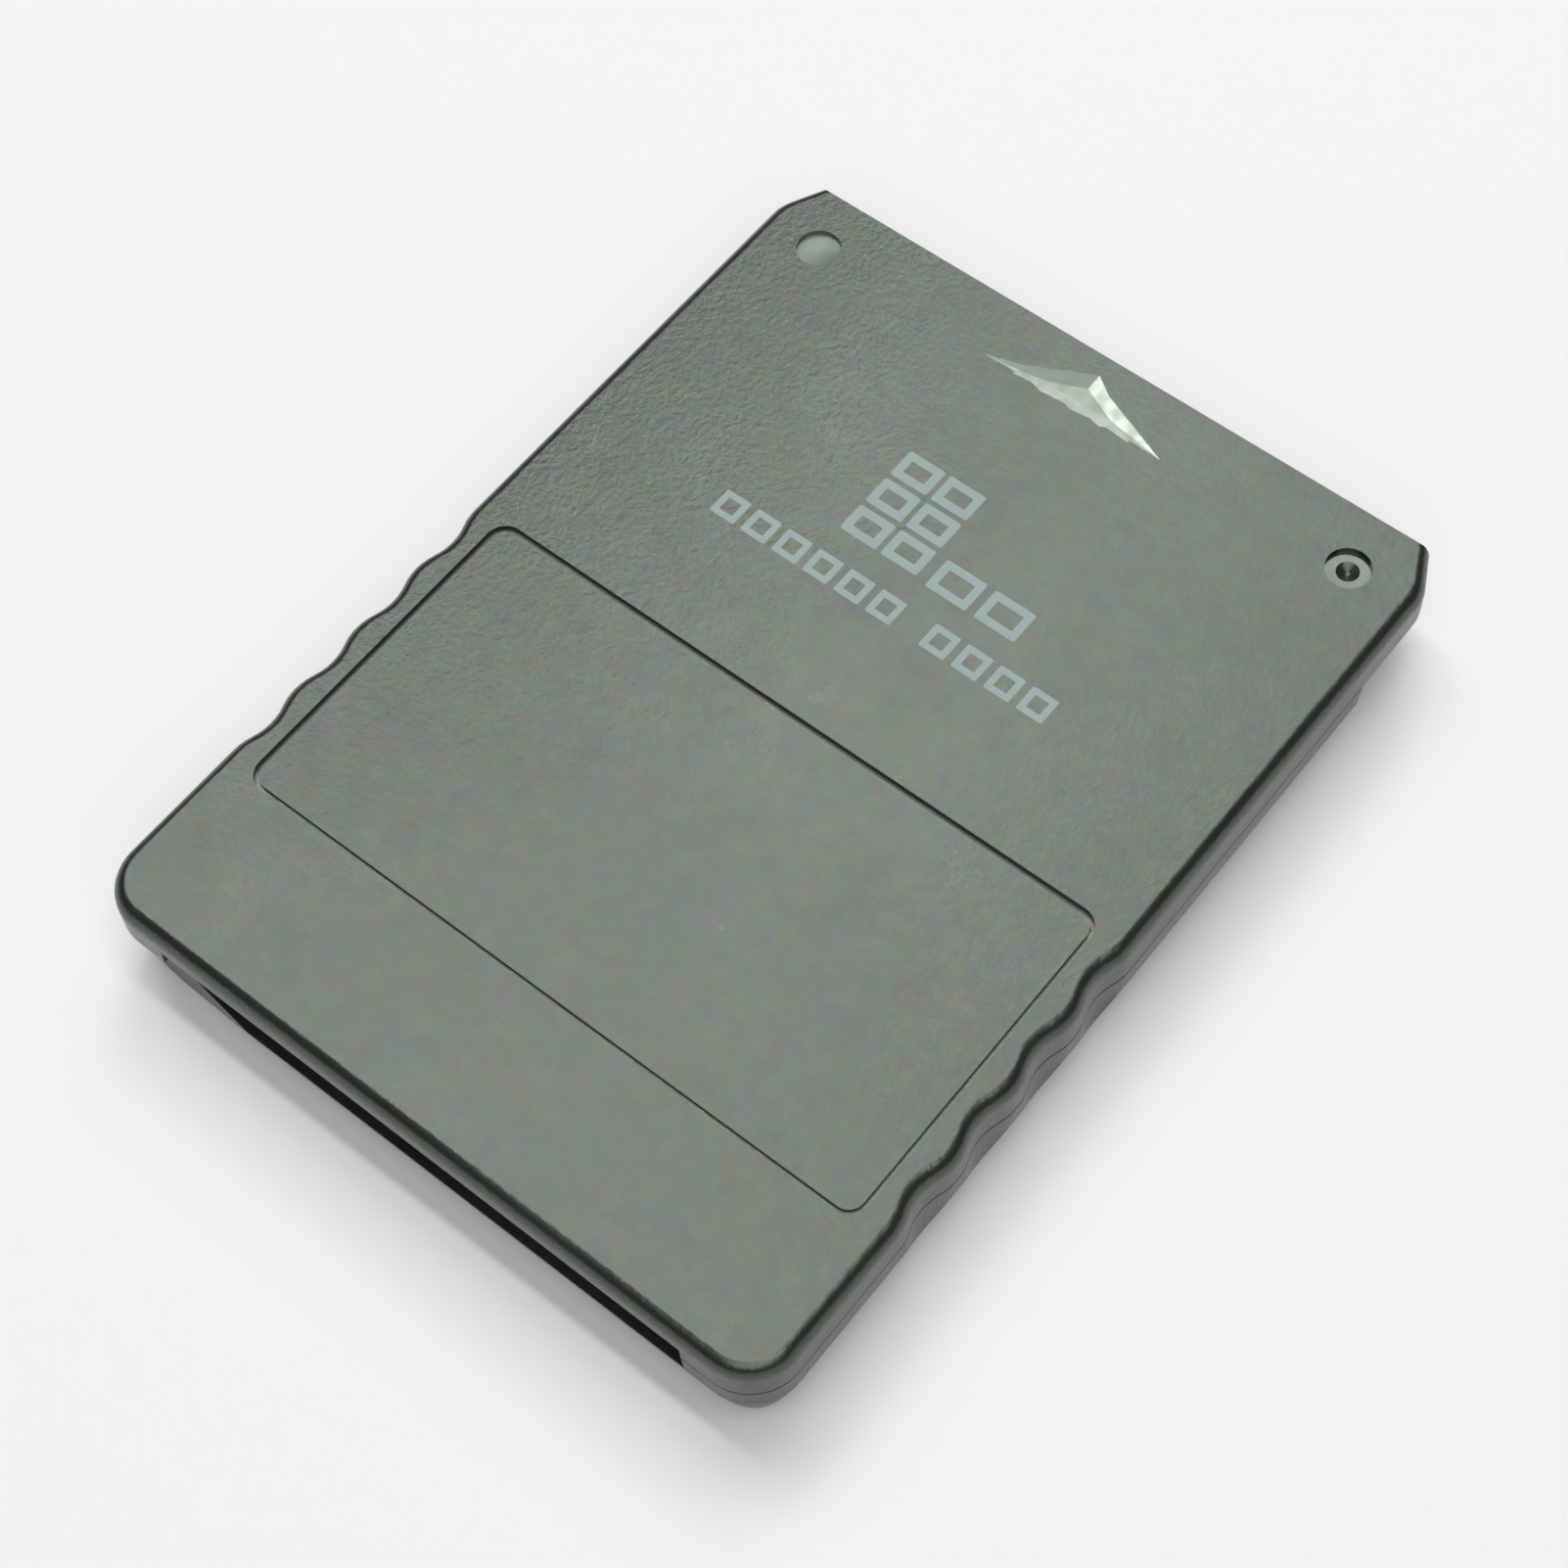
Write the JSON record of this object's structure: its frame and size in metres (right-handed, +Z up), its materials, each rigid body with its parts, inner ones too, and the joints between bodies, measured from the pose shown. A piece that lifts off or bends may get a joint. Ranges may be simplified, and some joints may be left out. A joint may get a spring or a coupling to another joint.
{
  "type": "console memory card",
  "caption": "Flat rectangular memory card for a game console, with finger grips along its sides, a label field on its face and a contact mouth at its insertion end.",
  "frame": {"origin": "under the middle of the card, on the plane of its back face", "axes": "+Z up through the printed face, +Y toward the insertion end, +X to the right of the printed face"},
  "size_m": [0.0424, 0.0566, 0.0072],
  "materials": {
    "case_plastic": "fine spark-textured charcoal",
    "case_back_plastic": "fine spark-textured charcoal",
    "board_laminate": "green solder mask",
    "carrier_plastic": "moulded black",
    "contact_gold": "gold-plated",
    "chip_plastic": "moulded black",
    "tinned_leads": "tinned",
    "capacitor_ceramic": "fired ceramic",
    "resistor_ceramic": "glazed black",
    "screw_steel": "zinc-plated"
  },
  "bodies": {
    "root": {"front_shell": "case_plastic", "back_shell": "case_back_plastic", "circuit_board": "board_laminate", "contact_block": "carrier_plastic", "contact_1": "contact_gold", "contact_2": "contact_gold", "contact_3": "contact_gold", "contact_4": "contact_gold", "contact_5": "contact_gold", "contact_6": "contact_gold", "contact_7": "contact_gold", "contact_8": "contact_gold", "controller_chip": "chip_plastic", "controller_leads": "tinned_leads", "flash_chip": "chip_plastic", "flash_leads": "tinned_leads", "reset_chip": "chip_plastic", "reset_leads": "tinned_leads", "capacitors": "capacitor_ceramic", "resistors": "resistor_ceramic", "case_screw": "screw_steel"}
  },
  "joints": []
}
